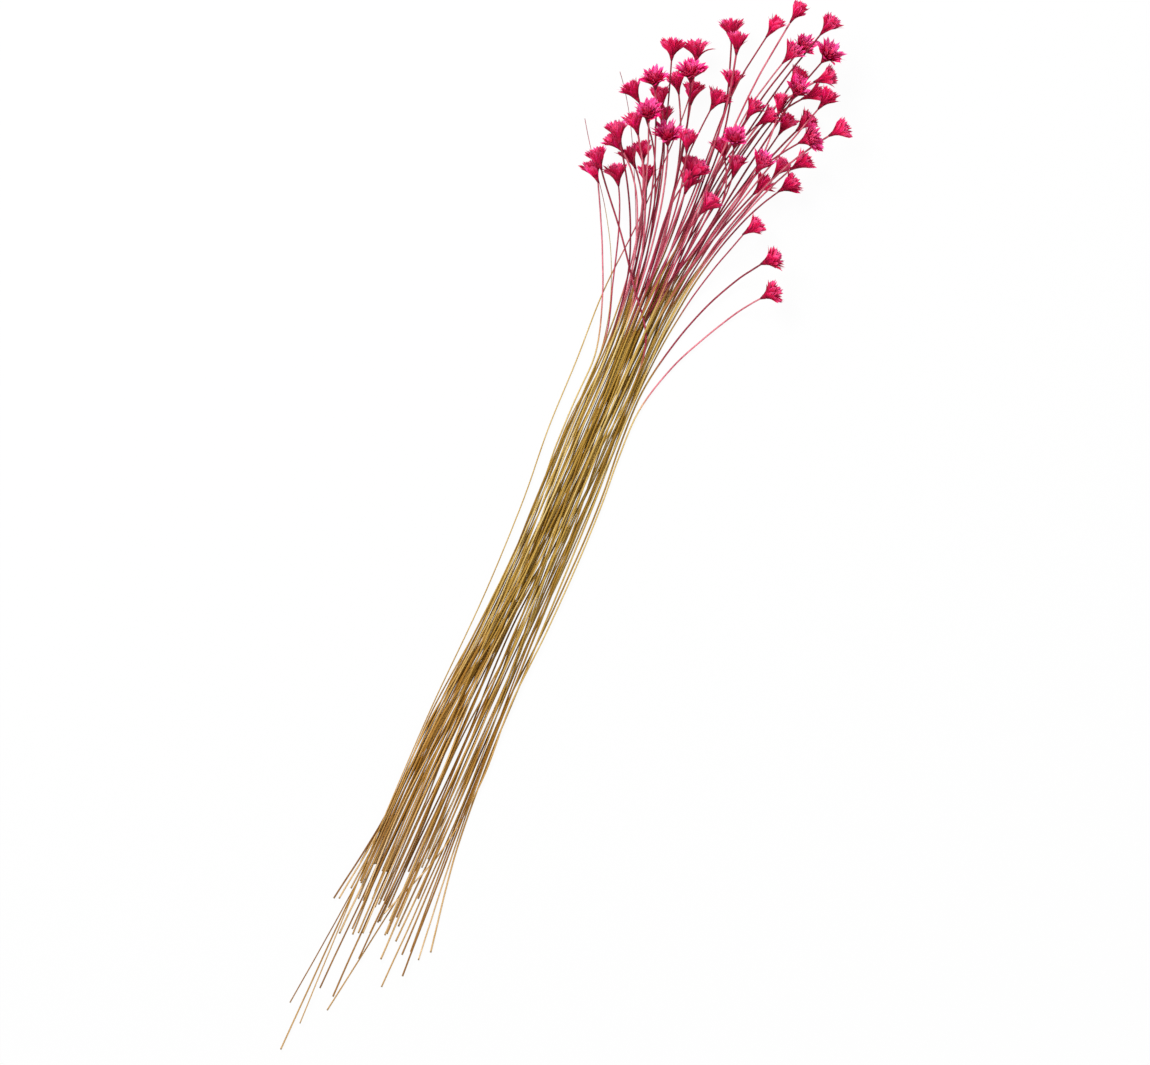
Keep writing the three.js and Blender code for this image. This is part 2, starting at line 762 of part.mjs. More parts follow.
export default bunch;
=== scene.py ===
# %% [markdown]
# # A bunch of dried hill flowers
# The bunch is 58 dried flowers and two stems that have lost their heads. Each flower is
# one grown thing: a straw stem as thin as a pin, and a small head of pointed, papery
# bracts. The upper part was dipped in magenta dye. Here every stem and head of the packed
# model gets its fine form and finish, right where the model has it.

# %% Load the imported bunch
import math
import random

import bmesh
import bpy
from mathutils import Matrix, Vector


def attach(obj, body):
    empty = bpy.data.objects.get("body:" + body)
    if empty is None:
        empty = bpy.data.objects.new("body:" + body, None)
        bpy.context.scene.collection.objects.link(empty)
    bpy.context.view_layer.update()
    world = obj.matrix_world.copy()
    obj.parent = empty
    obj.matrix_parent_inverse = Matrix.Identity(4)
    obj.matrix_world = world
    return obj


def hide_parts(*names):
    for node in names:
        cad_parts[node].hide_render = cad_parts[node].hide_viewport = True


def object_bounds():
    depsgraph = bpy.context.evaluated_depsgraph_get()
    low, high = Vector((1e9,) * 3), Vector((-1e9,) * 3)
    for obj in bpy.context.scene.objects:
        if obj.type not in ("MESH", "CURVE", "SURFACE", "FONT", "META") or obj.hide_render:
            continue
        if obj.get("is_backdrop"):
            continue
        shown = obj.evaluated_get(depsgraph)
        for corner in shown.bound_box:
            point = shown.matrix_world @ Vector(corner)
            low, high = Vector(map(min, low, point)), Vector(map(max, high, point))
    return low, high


MM = 0.001

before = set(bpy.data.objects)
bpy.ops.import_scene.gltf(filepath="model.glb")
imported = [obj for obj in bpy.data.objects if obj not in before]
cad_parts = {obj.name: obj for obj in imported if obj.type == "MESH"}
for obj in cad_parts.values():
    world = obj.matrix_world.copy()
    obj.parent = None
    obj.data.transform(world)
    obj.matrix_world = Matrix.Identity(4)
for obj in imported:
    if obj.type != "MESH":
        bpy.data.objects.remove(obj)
cad_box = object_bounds()
print("strands in the packed model:", len(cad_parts))

# %% [markdown]
# The photograph looks straight down on the bunch, which leans to the right in it. A lens
# close by would show the raised heads too large, so a long one far above keeps them at one
# scale with the low stems, as in a studio picture. The camera is turned about its own line
# of sight, so the bunch itself can lie along +Y.

# %% The camera
PHOTO_WIDTH = 575 * MM
PHOTO_LEAN = math.radians(24)
PHOTO_MIDDLE = Vector((16.6, 4.5, 12)) * MM
LENS = 300
SENSOR = 36
CAMERA_REACH = 50

camera_data = bpy.data.cameras.new("camera")
camera_data.lens = LENS
camera_data.sensor_width = SENSOR
camera_data.clip_end = CAMERA_REACH
camera = bpy.data.objects.new("camera", camera_data)
camera.location = PHOTO_MIDDLE + Vector((0, 0, PHOTO_WIDTH * LENS / SENSOR))
camera.rotation_euler = (0, 0, PHOTO_LEAN)
bpy.context.scene.collection.objects.link(camera)
bpy.context.scene.camera = camera
print(f"camera {camera.location.z:.2f} m above the floor")

# %% [markdown]
# ## Helpers for node trees
# Node trees are made of small steps, and a formula of ten terms takes ten nodes. This
# helper places one node and plugs in what it is given: a plain value, or the output of
# another node.

# %% A node with its inputs plugged in


def plug(socket, value):
    if isinstance(value, Number):
        value = value.socket
    if isinstance(value, bpy.types.NodeSocket):
        socket.id_data.links.new(value, socket)
    else:
        socket.default_value = value


def add_node(tree, kind, inputs=(), **settings):
    node = tree.nodes.new(kind)
    for name, value in settings.items():
        setattr(node, name, value)
    for key, value in dict(inputs).items():
        plug(node.inputs[key], value)
    return node


# %% [markdown]
# With a number that knows its node, a formula reads as it would on paper. Each sign in it
# places one Math node in the same tree. It serves shapes and materials alike.

# %% A number inside a node tree


class Number:
    """The output of a node, to be added, multiplied and so on."""

    def __init__(self, socket):
        self.socket = socket

    def math(self, operation, *others):
        values = enumerate((self, *others))
        node = add_node(self.socket.id_data, "ShaderNodeMath", values, operation=operation)
        return Number(node.outputs[0])

    def __add__(self, other):
        return self.math("ADD", other)

    def __mul__(self, other):
        return self.math("MULTIPLY", other)

    def __sub__(self, other):
        return self.math("SUBTRACT", other)

    def __truediv__(self, other):
        return self.math("DIVIDE", other)

    def __pow__(self, other):
        return self.math("POWER", other)

    def from_one(self):
        """One minus this number."""
        return (self * -1) + 1

    def between(self, start, end):
        """start where this number is 0, and end where it is 1."""
        if isinstance(start, Number) or isinstance(end, Number):
            return self.from_one() * start + self * end
        return self * (end - start) + start

    def step(self, low, high):
        """A smooth step from 0 at low to 1 at high. It also brings out a flat noise."""
        tree = self.socket.id_data
        inputs = {"Value": self, "From Min": low, "From Max": high}
        node = add_node(tree, "ShaderNodeMapRange", inputs, interpolation_type="SMOOTHSTEP")
        return Number(node.outputs["Result"])


# %% [markdown]
# A tree's inputs are its sizes, each with a name and a usual value. So one tree can serve
# all the stems, and another all the heads, with other sizes on each.

# %% A tree with named sizes
SOCKETS = {int: "NodeSocketInt", float: "NodeSocketFloat", tuple: "NodeSocketVector"}


def new_tree(name, sizes):
    """A node tree with these inputs. Returns it, its incoming mesh and its inputs by name."""
    tree = bpy.data.node_groups.new(name, "GeometryNodeTree")
    for way in ("INPUT", "OUTPUT"):
        tree.interface.new_socket("Mesh", in_out=way, socket_type="NodeSocketGeometry")
    for label, usual in sizes.items():
        kind = SOCKETS[type(usual)]
        socket = tree.interface.new_socket(label, in_out="INPUT", socket_type=kind)
        socket.default_value = usual
    given = tree.nodes.new("NodeGroupInput").outputs
    inputs = {}
    for label, usual in sizes.items():
        inputs[label] = given[label] if isinstance(usual, tuple) else Number(given[label])
    return tree, given["Mesh"], inputs


# %% [markdown]
# A tree ends in Realize Instances and Set Material. An instance is only a reference, which
# is lost outside Blender, and what a tree makes has no finish of its own. A piece's own
# value for an input is set by the socket's identifier, because names may repeat.

# %% The end of a tree, and its use on a piece


def finish_tree(tree, made, material):
    real = add_node(tree, "GeometryNodeRealizeInstances", {"Geometry": made})
    inputs = {"Geometry": real.outputs[0], "Material": material}
    coated = add_node(tree, "GeometryNodeSetMaterial", inputs)
    out = tree.nodes.new("NodeGroupOutput")
    tree.links.new(coated.outputs[0], out.inputs[0])


def add_modifier(piece, tree, **values):
    """Puts the tree on a piece, with its own values for some of the inputs."""
    modifier = piece.modifiers.new(tree.name, "NODES")
    modifier.node_group = tree
    for socket in tree.interface.items_tree:
        key = socket.name.lower().replace(" ", "_")
        if socket.in_out == "INPUT" and key in values:
            modifier[socket.identifier] = values[key]


# %% [markdown]
# A named attribute carries a number from the shape to the finish: how far along a bract a
# point lies, or how much dye a stem took there. One function saves it and one reads it. A
# third draws a number at random for each point or instance, the same at every run.

# %% Attributes by name


def store(tree, mesh, name, value, domain="POINT"):
    inputs = {"Geometry": mesh, "Name": name, "Value": value}
    kind = "GeometryNodeStoreNamedAttribute"
    return add_node(tree, kind, inputs, data_type="FLOAT", domain=domain).outputs[0]


def stored(tree, name):
    node = add_node(tree, "GeometryNodeInputNamedAttribute", {"Name": name}, data_type="FLOAT")
    return Number(node.outputs[0])


def chance(tree, seed, low, high):
    """A number for each point or instance, anywhere between low and high."""
    # The node has a Min and a Max for each kind of value, and a number's are inputs 2 and 3.
    inputs = {2: low, 3: high, "Seed": seed}
    node = add_node(tree, "FunctionNodeRandomValue", inputs, data_type="FLOAT")
    return Number(node.outputs[1])


# %% [markdown]
# ## Helpers for finishes
# A shader counts light, while a colour seen on a screen is a code such as b0883c. The first
# helper turns the code into light. The others lay colours along a number from 0 to 1, and
# blend one colour into another.

# %% Colours


def colour(code):
    """A colour as it shows on screen, such as b0883c, in the light values of a shader."""
    shown = [int(code[i : i + 2], 16) / 255 for i in (0, 2, 4)]
    light = [c / 12.92 if c <= 0.04045 else ((c + 0.055) / 1.055) ** 2.4 for c in shown]
    return (*light, 1)


def ramp(tree, share, stops):
    """Colours along a number from 0 to 1, as (place, colour) pairs."""
    node = add_node(tree, "ShaderNodeValToRGB", {0: share})
    elements = node.color_ramp.elements
    while len(elements) < len(stops):
        elements.new(0.5)
    for element, (place, code) in zip(elements, stops):
        element.position = place
        element.color = colour(code)
    return node.outputs[0]


def mix_colours(tree, share, first, second):
    """The first colour where the share is 0, and the second where it is 1."""
    # The node has an A and a B for each kind of value, and a colour's are inputs 6 and 7.
    inputs = {0: share, 6: first, 7: second}
    return add_node(tree, "ShaderNodeMix", inputs, data_type="RGBA").outputs[2]


# %% [markdown]
# A finish reads attributes of the mesh, and noise over the object's own place. The noise
# is moved by the tone of each stem or bract, so no two of them show the same pattern.

# %% Materials that read attributes and noise
NOISE_DETAIL = 2.0


def new_material(name):
    material = bpy.data.materials.new(name)
    material.use_nodes = True
    shader = material.node_tree.nodes["Principled BSDF"]
    return material, material.node_tree, shader


def told(tree, name):
    """An attribute of the mesh, for a material."""
    node = add_node(tree, "ShaderNodeAttribute", attribute_name=name)
    return Number(node.outputs["Fac"])


def noise(tree, stretch, scale, offset):
    """Noise over the object's own place. A small factor draws it out along that axis."""
    place = add_node(tree, "ShaderNodeTexCoord").outputs["Object"]
    moved = add_node(tree, "ShaderNodeCombineXYZ", {"X": offset, "Z": offset})
    inputs = {"Vector": place, "Location": moved.outputs[0], "Scale": stretch}
    scaled = add_node(tree, "ShaderNodeMapping", inputs)
    inputs = {"Vector": scaled.outputs[0], "Scale": scale, "Detail": NOISE_DETAIL}
    return Number(add_node(tree, "ShaderNodeTexNoise", inputs).outputs[0])


# %% [markdown]
# ## The dyed straw finish
# A dry stem is ochre straw with long darker and lighter streaks. Some stems are darker all
# over than others, which counts for more than the streaks do. So how light a point is comes
# from the stem's own tone first, and then from two noises that are drawn out along the
# bunch: one for the fine streaks, and one for longer blotches. An image could be wrapped
# round each stem instead, but noise has no seam and stays sharp at any distance.

# %% How light the straw is at each point
STREAK_STRETCH = (1, 0.025, 1)
STREAK_SCALE = 1000
STRAW_BLOTCH_STRETCH = (1, 0.2, 1)
STRAW_BLOTCH_SCALE = 180
# Noise stays near its middle, so this range of it is stretched to 0 and 1.
NOISE_RANGE = (0.3, 0.7)
TONE_SHARE = 0.66
STREAK_SHARE = 0.18
BLOTCH_SHARE = 0.18
MOTTLE_SHIFT = 0.01

straw, straw_tree, straw_shader = new_material("dyed straw")
along = told(straw_tree, "along")
dye = told(straw_tree, "dye")
tone = told(straw_tree, "tone")
streak = noise(straw_tree, STREAK_STRETCH, STREAK_SCALE, tone).step(*NOISE_RANGE)
blotch = noise(straw_tree, STRAW_BLOTCH_STRETCH, STRAW_BLOTCH_SCALE, tone).step(*NOISE_RANGE)
mottled = tone * TONE_SHARE + streak * STREAK_SHARE + blotch * BLOTCH_SHARE - MOTTLE_SHIFT

# %% [markdown]
# Four scales of colour run from dark to light. The straw is browner below the middle of
# the stem, paler again near its cut end, and a little darker at the cut itself. The dye
# turned the upper part a dusty rose, and an attribute of the stem says where.

# %% The straw's colours
DRY = ((0.1, "745214"), (0.36, "926e24"), (0.62, "a6863e"), (0.9, "bea468"))
BROWNED = ((0.1, "683e04"), (0.36, "845812"), (0.62, "9c7230"), (0.92, "be965a"))
BLEACHED = ((0.1, "7a5022"), (0.36, "986e36"), (0.62, "b08c56"), (0.92, "ceb086"))
ROSE = ((0.08, "621224"), (0.36, "801e32"), (0.64, "a03a4e"), (0.94, "cc7480"))
CUT_COLOUR = "84683e"
# Shares of the length, from the cut end, over which one colour gives way to the next.
CUT_TO_BLEACHED = (0.0005, 0.0025)
BLEACHED_TO_BROWNED = (0.03, 0.16)
BROWNED_TO_DRY = (0.22, 0.44)

scales = (DRY, BROWNED, BLEACHED, ROSE)
dry, browned, bleached, rose = [ramp(straw_tree, mottled, stops) for stops in scales]
undyed = mix_colours(straw_tree, along.step(*BROWNED_TO_DRY), browned, dry)
undyed = mix_colours(straw_tree, along.step(*BLEACHED_TO_BROWNED), bleached, undyed)
undyed = mix_colours(straw_tree, along.step(*CUT_TO_BLEACHED), colour(CUT_COLOUR), undyed)
plug(straw_shader.inputs["Base Color"], mix_colours(straw_tree, dye, undyed, rose))

# %% [markdown]
# A bump gives the streaks a little relief without a single face more: the surface catches
# the light as if it had grooves. The lighter streaks are also a little glossier.

# %% The straw's gloss and grain
STRAW_ROUGHNESS = (0.62, 0.4)
STRAW_GRAIN = {"Strength": 0.25, "Distance": 0.2 * MM}
STRAW_SPECULAR = 0.16

plug(straw_shader.inputs["Roughness"], streak.between(*STRAW_ROUGHNESS))
grain = add_node(straw_tree, "ShaderNodeBump", {"Height": streak, **STRAW_GRAIN})
plug(straw_shader.inputs["Normal"], grain.outputs[0])
straw_shader.inputs["Specular IOR Level"].default_value = STRAW_SPECULAR
print("straw material:", len(straw_tree.nodes), "nodes")

# %% [markdown]
# ## The dyed bract finish
# Bracts are papery and matte, with fine veins that run to the tip. Noise over the object's
# own place would cut straight through all of them. So the veins are a noise in the bract's
# own two directions, drawn out along it, and its tone picks a pattern for it.

# %% The bract's veins and blotches
BRACT_BLOTCH_SCALE = 420
VEINS_ACROSS = 5
VEIN_DRIFT = 1.2
VEIN_PATTERNS = 90
VEIN_SCALE = 2.2

bract, bract_tree, bract_shader = new_material("dyed bract")
along = told(bract_tree, "along")
across = told(bract_tree, "across")
tone = told(bract_tree, "tone")
blotch = noise(bract_tree, (1, 1, 1), BRACT_BLOTCH_SCALE, tone)

inputs = {"X": across * VEINS_ACROSS, "Y": along * VEIN_DRIFT, "Z": tone * VEIN_PATTERNS}
vein_place = add_node(bract_tree, "ShaderNodeCombineXYZ", inputs).outputs[0]
inputs = {"Vector": vein_place, "Scale": VEIN_SCALE, "Detail": NOISE_DETAIL}
vein = Number(add_node(bract_tree, "ShaderNodeTexNoise", inputs).outputs[0])
vein = vein.step(*NOISE_RANGE)

# %% [markdown]
# The dye is deepest at the foot of the bracts, and palest at the thin tips, at the edges and
# in the heart. Where the bracts overlap at the foot, the dark is also painted shade. So the
# colour follows how pale each point is, dye and painted shade together, and that is a sum of
# shares: the place on the bract, its veins and blotches, its own tone, and its rank from the
# rim to the heart.

# %% How pale each point is, dye and painted shade together
# Paler towards the tip: the dark foot is dye, and also painted shade where the bracts overlap.
PALER_TO_TIP_WITH_PAINTED_SHADE = 0.74
PALER_BY_VEIN = 0.12
PALER_BY_BLOTCH = 0.1
PALER_BY_TONE = 0.34
PALER_TO_HEART = 0.24
PALER_TO_EDGE = 0.12
PALENESS_SHIFT = 0.3

rank = told(bract_tree, "rank")
pale = along * PALER_TO_TIP_WITH_PAINTED_SHADE + vein * PALER_BY_VEIN
pale = pale + blotch.step(*NOISE_RANGE) * PALER_BY_BLOTCH
pale = pale + tone * PALER_BY_TONE - PALENESS_SHIFT
pale = pale + rank * PALER_TO_HEART + (across.math("ABSOLUTE") ** 3) * PALER_TO_EDGE

# %% [markdown]
# The side that faces the heart is brighter than the back. A few tips dried to a dull
# purple brown before they were dyed.

# %% The bract's colours
FRONT = ((0.0, "660020"), (0.28, "bc0440"), (0.56, "f01472"), (0.9, "ff68b4"))
BACK = ((0.0, "5e0620"), (0.26, "9e0a32"), (0.56, "da144a"), (0.9, "fc588c"))
FRONT_TO_BACK = (-0.2, 0.4)
DRIED_COLOUR = "6a2a40"
DRIED_TIP = (0.86, 0.99)
DRIED_BRACTS = (0.88, 0.96)

back = told(bract_tree, "back")
front_colour = ramp(bract_tree, pale, FRONT)
back_colour = ramp(bract_tree, pale, BACK)
both = mix_colours(bract_tree, back.step(*FRONT_TO_BACK), front_colour, back_colour)
dried = along.step(*DRIED_TIP) * tone.step(*DRIED_BRACTS)
bract_colour = mix_colours(bract_tree, dried, both, colour(DRIED_COLOUR))
plug(bract_shader.inputs["Base Color"], bract_colour)

# %% [markdown]
# Dry bracts are crinkled as paper is. The veins and the blotches make the bump together,
# and the veins are a little glossier than what lies between them.

# %% The bract's gloss and crinkles
BRACT_ROUGHNESS = (0.8, 0.55)
BLOTCH_HEIGHT = 0.5
BRACT_CRINKLE = {"Strength": 0.6, "Distance": 0.3 * MM}
BRACT_SPECULAR = 0.08

plug(bract_shader.inputs["Roughness"], vein.between(*BRACT_ROUGHNESS))
inputs = {"Height": vein + blotch * BLOTCH_HEIGHT, **BRACT_CRINKLE}
crinkle = add_node(bract_tree, "ShaderNodeBump", inputs)
plug(bract_shader.inputs["Normal"], crinkle.outputs[0])
bract_shader.inputs["Specular IOR Level"].default_value = BRACT_SPECULAR
print("bract material:", len(bract_tree.nodes), "nodes")

# %% [markdown]
# ## The stems
# A stem is long and thin, with fine ribs that wind slowly round it. It could be a long
# cylinder, bent point by point. A curve does it in two steps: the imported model's centre
# line is smoothed, and a ribbed ring is swept along it. A flower's stem is nearly even, if
# not a little thicker at the head, and a bare one thins out to its tip. First comes a
# smooth line of even stations.

# %% The stem tree
stem_sizes = {
    "Thickness": 0.87 * MM,
    "Top thickness": 0.93 * MM,
    "Foot swelling": 0.05,
    "Rib depth": 0.08,
    "Turns": 2.5,
    "Wander": 0.8 * MM,
    "Dye line": 120 * MM,
    "Dye fade": 13 * MM,
    "Tone": 0.5,
    "Stations": 96,
    "Sides": 10,
}
stem_tree, line, size = new_tree("ribbed stem", stem_sizes)
curve = add_node(stem_tree, "GeometryNodeMeshToCurve", {"Mesh": line}).outputs[0]
curve = add_node(
    stem_tree, "GeometryNodeCurveSplineType", {"Curve": curve}, spline_type="CATMULL_ROM"
).outputs[0]
inputs = {"Curve": curve, "Count": size["Stations"]}
curve = add_node(stem_tree, "GeometryNodeResampleCurve", inputs).outputs[0]
print("sizes of a stem:", len(stem_sizes))

# %% [markdown]
# No dry stem is quite straight. A noise along it moves it to the side by up to about its
# own thickness, so that neighbours cross now and then. Its two ends stay in place. Each
# stem reads another row of the noise, which its tone picks. Noise stays within about a
# quarter of its middle, so four times its distance from there is one full wander.

# %% Small bends
BENDS_ON_A_STEM = 5.0
BEND_ROWS = 90
BEND_STRENGTH = 4
LOOSE_FROM = (0.0, 0.12)
LOOSE_UNTIL = (0.82, 1.0)

share = Number(add_node(stem_tree, "GeometryNodeSplineParameter").outputs["Factor"])
inputs = {"X": share * BENDS_ON_A_STEM, "Y": size["Tone"] * BEND_ROWS}
bend_place = add_node(stem_tree, "ShaderNodeCombineXYZ", inputs).outputs[0]
inputs = {"Vector": bend_place, "Scale": 1.0, "Detail": 1.0}
bends = Number(add_node(stem_tree, "ShaderNodeTexNoise", inputs).outputs[0])
loose = share.step(*LOOSE_FROM) * share.step(*LOOSE_UNTIL).from_one()
inputs = {"X": (bends - 0.5) * BEND_STRENGTH * size["Wander"] * loose}
sideways = add_node(stem_tree, "ShaderNodeCombineXYZ", inputs).outputs[0]
inputs = {"Geometry": curve, "Offset": sideways}
curve = add_node(stem_tree, "GeometryNodeSetPosition", inputs).outputs[0]

# %% [markdown]
# The lowest stems lie on the floor. A round stem can be a little deeper than the square
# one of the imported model, so its line is lifted there until the stem just touches.

# %% The stem's thickness, and the floor under it
SWELLING_FADE = -14
TAPER = (0.35, 0.9)

swelling = (share * SWELLING_FADE).math("EXPONENT") * size["Foot swelling"]
thickness = share.step(*TAPER).between(size["Thickness"], size["Top thickness"])
radius = thickness * 0.5 * (swelling + 1)

middle = add_node(stem_tree, "GeometryNodeInputPosition").outputs[0]
spot = add_node(stem_tree, "ShaderNodeSeparateXYZ", {0: middle}).outputs
lifted = Number(spot["Z"]).math("MAXIMUM", radius)
inputs = {"X": spot["X"], "Y": spot["Y"], "Z": lifted}
raised = add_node(stem_tree, "ShaderNodeCombineXYZ", inputs).outputs[0]
inputs = {"Geometry": curve, "Position": raised}
curve = add_node(stem_tree, "GeometryNodeSetPosition", inputs).outputs[0]

# %% [markdown]
# The dye starts at another place on each stem, and fades in over one to four centimetres.
# It is saved along the curve, and so is the share of the length. The tilt of the curve is
# what winds the ribs round the stem.

# %% Where the dye is, and how the ribs wind
inputs = {"Curve": curve, "Tilt": share * size["Turns"] * math.tau}
curve = add_node(stem_tree, "GeometryNodeSetCurveTilt", inputs).outputs[0]
curve = store(stem_tree, curve, "along", share)
start = size["Dye line"] - size["Dye fade"]
end = size["Dye line"] + size["Dye fade"]
curve = store(stem_tree, curve, "dye", Number(spot["Y"]).step(start, end))

# %% [markdown]
# The section is a ring of ten corners, and every second one is pulled in by the depth of a
# rib. A bump in the finish would be cheaper, but real grooves also show at the outline and
# in the mesh that others use.

# %% The ribbed section, swept along the stem
RIB_SPACING = 2.0

inputs = {"Resolution": size["Sides"], "Radius": 1.0}
ring = add_node(stem_tree, "GeometryNodeCurvePrimitiveCircle", inputs).outputs[0]
index = Number(add_node(stem_tree, "GeometryNodeInputIndex").outputs[0])
groove = index.math("MODULO", RIB_SPACING) * size["Rib depth"]
ring_place = add_node(stem_tree, "GeometryNodeInputPosition").outputs[0]
inputs = {0: ring_place, "Scale": groove.from_one()}
pulled = add_node(stem_tree, "ShaderNodeVectorMath", inputs, operation="SCALE").outputs[0]
inputs = {"Geometry": ring, "Position": pulled}
ring = add_node(stem_tree, "GeometryNodeSetPosition", inputs).outputs[0]
inputs = {"Curve": curve, "Profile Curve": ring, "Scale": radius, "Fill Caps": True}
stem = add_node(stem_tree, "GeometryNodeCurveToMesh", inputs).outputs[0]
stem = store(stem_tree, stem, "tone", size["Tone"])
finish_tree(stem_tree, stem, straw)
print("stem tree:", len(stem_tree.nodes), "nodes")

# %% [markdown]
# ## The heads
# A head is a small trumpet of some 90 narrow bracts. They sit in a spiral, each turned by
# the golden angle from the last, as scales on a cone do. The outermost are long, broad and
# bent back at the rim, and the innermost short, narrow and upright. All heads together have
# more than 5000 of them, too many to model by hand. So one bract is made once and placed by
# rule: its rank, from 0 outside to 1 inside, gives all its sizes. A head is drawn in
# millimetres and degrees, upright and at the origin.

# %% Sizes of a head
head_sizes = {
    "Bracts": 90,
    "Opening": 1.0,
    "Outer length": 10.6,
    "Inner length": 6.2,
    "Outer width": 3.0,
    "Inner width": 1.35,
    "Foot lean": 17.0,
    "Rim lean": 58.0,
    "Heart lean": 6.0,
    "Curl": 0.6,
    "Neck": 0.46,
    "Untidiness": 1.15,
    "Turned": 0.0,
    "Stray": 0.0,
    "Tone": 0.5,
    "Seed": 1,
    "Foot": (0.0, 0.0, 0.0),
    "Facing": (0.0, 0.0, 0.0),
}
head_tree, stem_mesh, size = new_tree("head of bracts", head_sizes)
print("sizes of a head:", len(head_sizes))

# %% [markdown]
# The blade that is repeated is a slim cone with four sides, closed at both ends. So a bract
# has a keel in front and behind, and two sharp edges. Three numbers are saved on its
# points before it is bent: how far along it they are, how far across, and how near the
# back.

# %% One bract, still straight
BLADE_SIDES = 4
BLADE_SEGMENTS = 6
NEARLY_NOTHING = 0.001

inputs = {"Vertices": BLADE_SIDES, "Side Segments": BLADE_SEGMENTS}
inputs |= {"Radius Bottom": 1.0, "Depth": 1.0}
blade = add_node(head_tree, "GeometryNodeMeshCone", inputs).outputs[0]
blade_place = add_node(head_tree, "GeometryNodeInputPosition").outputs[0]
spot = add_node(head_tree, "ShaderNodeSeparateXYZ", {0: blade_place}).outputs
along = Number(spot["Z"])
narrowing = along.from_one().math("MAXIMUM", NEARLY_NOTHING)
across = Number(spot["X"]) / narrowing
back = Number(spot["Y"]) / narrowing
blade = store(head_tree, blade, "along", along)
blade = store(head_tree, blade, "across", across)
blade = store(head_tree, blade, "back", back)

# %% [markdown]
# Each bract's rank and its own small differences are saved on the instance, so they are
# still there on all its points once the instances are real. A difference is drawn between
# two limits, and has its own step of the seed, so that no two of them go together. Lean is
# in degrees, sway in millimetres at the tip, and the rest are plain factors.

# %% Bracts in a spiral
GOLDEN_ANGLE = math.radians(137.508)
OWN_TURN = 0.2
OWN_DIFFERENCES = (
    ("own lean", 1, -13.0, 11.0),
    ("own length", 2, 0.78, 1.12),
    ("own width", 3, 0.75, 1.2),
    ("own sway", 4, -0.9, 0.9),
    ("own roll", 7, -0.8, 0.8),
    ("own curl", 6, -0.6, 2.0),
    ("tone", 5, 0.0, 1.0),
)

points = add_node(head_tree, "GeometryNodePoints", {"Count": size["Bracts"]}).outputs[0]
inputs = {"Points": points, "Instance": blade}
bracts = add_node(head_tree, "GeometryNodeInstanceOnPoints", inputs).outputs[0]
index = Number(add_node(head_tree, "GeometryNodeInputIndex").outputs[0])
rank = index / (size["Bracts"] - 1)
own_turn = chance(head_tree, size["Seed"], -OWN_TURN, OWN_TURN) * size["Untidiness"]
turn = index * GOLDEN_ANGLE + own_turn + size["Turned"]
bracts = store(head_tree, bracts, "rank", rank, "INSTANCE")
bracts = store(head_tree, bracts, "turn", turn, "INSTANCE")
for name, seed_step, low, high in OWN_DIFFERENCES:
    value = chance(head_tree, size["Seed"] + seed_step, low, high)
    bracts = store(head_tree, bracts, name, value, "INSTANCE")
mesh = add_node(head_tree, "GeometryNodeRealizeInstances", {"Geometry": bracts}).outputs[0]

# %% [markdown]
# A bract bends in one plane through the head's axis. At any share of its length it leans
# by so many degrees from the axis, and the straight line to its foot leans by the mean of
# that lean and the foot's. This gives its place out from the axis and up along it.

# %% The line that a bract bends along
DEGREE = math.radians(1)


def bend(start_out, start_up, length, foot_lean, tip_lean, share):
    """Distance out from the axis and up along it, and the lean there, in radians."""
    foot = foot_lean * DEGREE
    change = (tip_lean - foot_lean) * DEGREE
    chord = foot + change * share * 0.5
    reach = share * length
    out = reach * chord.math("SINE") + start_out
    up = reach * chord.math("COSINE") + start_up
    return out, up, foot + change * share


# %% [markdown]
# The feet of the inner bracts stand higher, and those of the middle ranks furthest out.
# The outermost bract of one head strays from it: it is longer and leans out far.

# %% Each bract's foot, length and lean
LEAN_POWER = 1.25
HEIGHT_POWER = 0.8
FEET_OUT = 5.4
FEET_UP = 4.4
LOWEST_FOOT = 0.2
STRAY_LONGER = 1.5
STRAY_LEAN = 34

rank = stored(head_tree, "rank")
along = stored(head_tree, "along")
across = stored(head_tree, "across")
back = stored(head_tree, "back")
stray = rank.math("LESS_THAN", NEARLY_NOTHING) * size["Stray"]
length = rank.between(size["Outer length"], size["Inner length"])
length = length * stored(head_tree, "own length") + stray * STRAY_LONGER
foot_lean = rank.from_one() * size["Foot lean"] * size["Opening"]
tip_lean = (rank**LEAN_POWER).between(size["Rim lean"], size["Heart lean"]) * size["Opening"]
tip_lean = tip_lean + stored(head_tree, "own lean") * size["Untidiness"] + stray * STRAY_LEAN
foot_out = rank * rank.from_one() * FEET_OUT * size["Opening"] + size["Neck"]
foot_up = (rank**HEIGHT_POWER) * FEET_UP + LOWEST_FOOT
out, up, lean = bend(foot_out, foot_up, length, foot_lean, tip_lean, along)

# %% [markdown]
# The blade is widest just past its middle and runs out in a point. It also sways to one
# side towards its tip. The stray bract is slimmer than the others, and thicker, as if it
# had rolled itself up.

# %% The blade's width
WIDTH_POWER = 4.5
POINT_POWER = 0.66
WIDENING = 2
WIDTH_AT_FOOT = 0.2
WIDTH_SHARE = 0.68
STRAY_SLIMMER = -0.36

width = (rank.from_one() ** WIDTH_POWER).between(size["Inner width"], size["Outer width"])
width = width * stored(head_tree, "own width")
taper = along.from_one() ** POINT_POWER
widening = along * WIDENING + WIDTH_AT_FOOT
half_width = width * taper * widening * (stray * STRAY_SLIMMER + WIDTH_SHARE)
sway = along * along * stored(head_tree, "own sway") * size["Untidiness"]
side = across * half_width + sway

# %% [markdown]
# The blade is cupped round the heart: its edges stand further in than its middle, and it is
# thickest there. Some blades roll to one side or curl in or out at the tip, and each sinks
# into the receptacle at its foot. All these move it across its own plane, so its lean says
# how much goes out and how much goes down.

